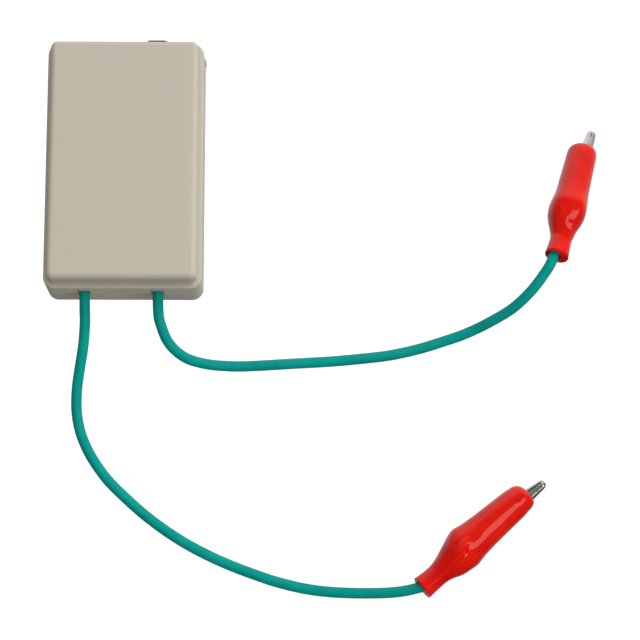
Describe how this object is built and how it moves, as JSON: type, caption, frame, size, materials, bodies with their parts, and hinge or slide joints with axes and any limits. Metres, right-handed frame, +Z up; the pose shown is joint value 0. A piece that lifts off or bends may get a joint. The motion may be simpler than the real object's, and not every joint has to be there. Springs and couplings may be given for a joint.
{
  "type": "usb tester",
  "caption": "Small bench tester in a light grey two-part plastic case with a mini USB socket, and teal leads ending in red-booted sprung alligator clips.",
  "frame": {"origin": "centre of the case underside, on the surface that the case, leads and clips lie on", "axes": "+Y runs along the case towards the wall with the USB socket; +X is to the right seen from above with the socket at the far end; +Z is up, out of the lid"},
  "size_m": [0.1774, 0.1792, 0.026],
  "materials": {
    "case_plastic": "light warm grey moulded ABS with a fine spark-eroded texture",
    "screw_steel": "zinc-plated steel",
    "board": "green solder mask on glass-epoxy board",
    "chip": "black moulded epoxy",
    "ceramic": "tan ceramic body",
    "can": "drawn bright can",
    "nickel": "bright nickel plate on stamped steel",
    "contact": "gold-flashed contact strip",
    "spring_steel": "hard-drawn spring wire",
    "copper": "tinned copper strand",
    "lead_pvc": "teal green soft PVC insulation with a satin shine",
    "boot_pvc": "red soft glossy PVC, slightly translucent",
    "stop": "black nylon"
  },
  "bodies": {
    "tester": {"base_shell": "case_plastic", "lid_shell": "case_plastic", "circuit_board": "board", "controller_chip": "chip", "amplifier_chip": "chip", "voltage_regulator": "chip", "crystal_can": "can", "sense_resistor": "ceramic", "input_fuse": "ceramic", "filter_capacitor": "can", "usb_socket_shell": "nickel", "usb_socket_insert": "chip", "lead_a": "lead_pvc", "lead_b": "lead_pvc", "lead_a_core": "copper", "lead_b_core": "copper", "lead_a_stop": "stop", "lead_b_stop": "stop", "case_screw_1": "screw_steel", "case_screw_2": "screw_steel", "case_screw_3": "screw_steel", "case_screw_4": "screw_steel", "board_screw_1": "screw_steel", "board_screw_2": "screw_steel", "usb_contact_1": "contact", "usb_contact_2": "contact", "usb_contact_3": "contact", "usb_contact_4": "contact", "usb_contact_5": "contact", "clip_a_fixed_jaw": "nickel", "clip_a_rivet": "nickel", "clip_a_spring": "spring_steel", "clip_a_core": "copper", "clip_a_boot": "boot_pvc", "clip_b_fixed_jaw": "nickel", "clip_b_rivet": "nickel", "clip_b_spring": "spring_steel", "clip_b_core": "copper", "clip_b_boot": "boot_pvc"},
    "clip_a_jaw": {"clip_a_moving_jaw": "nickel"},
    "clip_b_jaw": {"clip_b_moving_jaw": "nickel"}
  },
  "joints": [
    {"name": "clip_a_open", "type": "hinge", "parent": "tester", "child": "clip_a_jaw", "pos_m": [0.1461, 0.00047, 0.0069], "axis": [0.9483, -0.3173, 0], "range_deg": [0, 20], "stiffness_Nm_per_rad": 0.01, "springref_deg": -11.46, "deforming": ["clip_a_spring", "clip_a_boot"]},
    {"name": "clip_b_open", "type": "hinge", "parent": "tester", "child": "clip_b_jaw", "pos_m": [0.1201, -0.11029, 0.00545], "axis": [-0.0373, -0.0302, -0.9988], "range_deg": [0, 20], "stiffness_Nm_per_rad": 0.01, "springref_deg": -11.46, "deforming": ["clip_b_spring", "clip_b_boot"]}
  ]
}
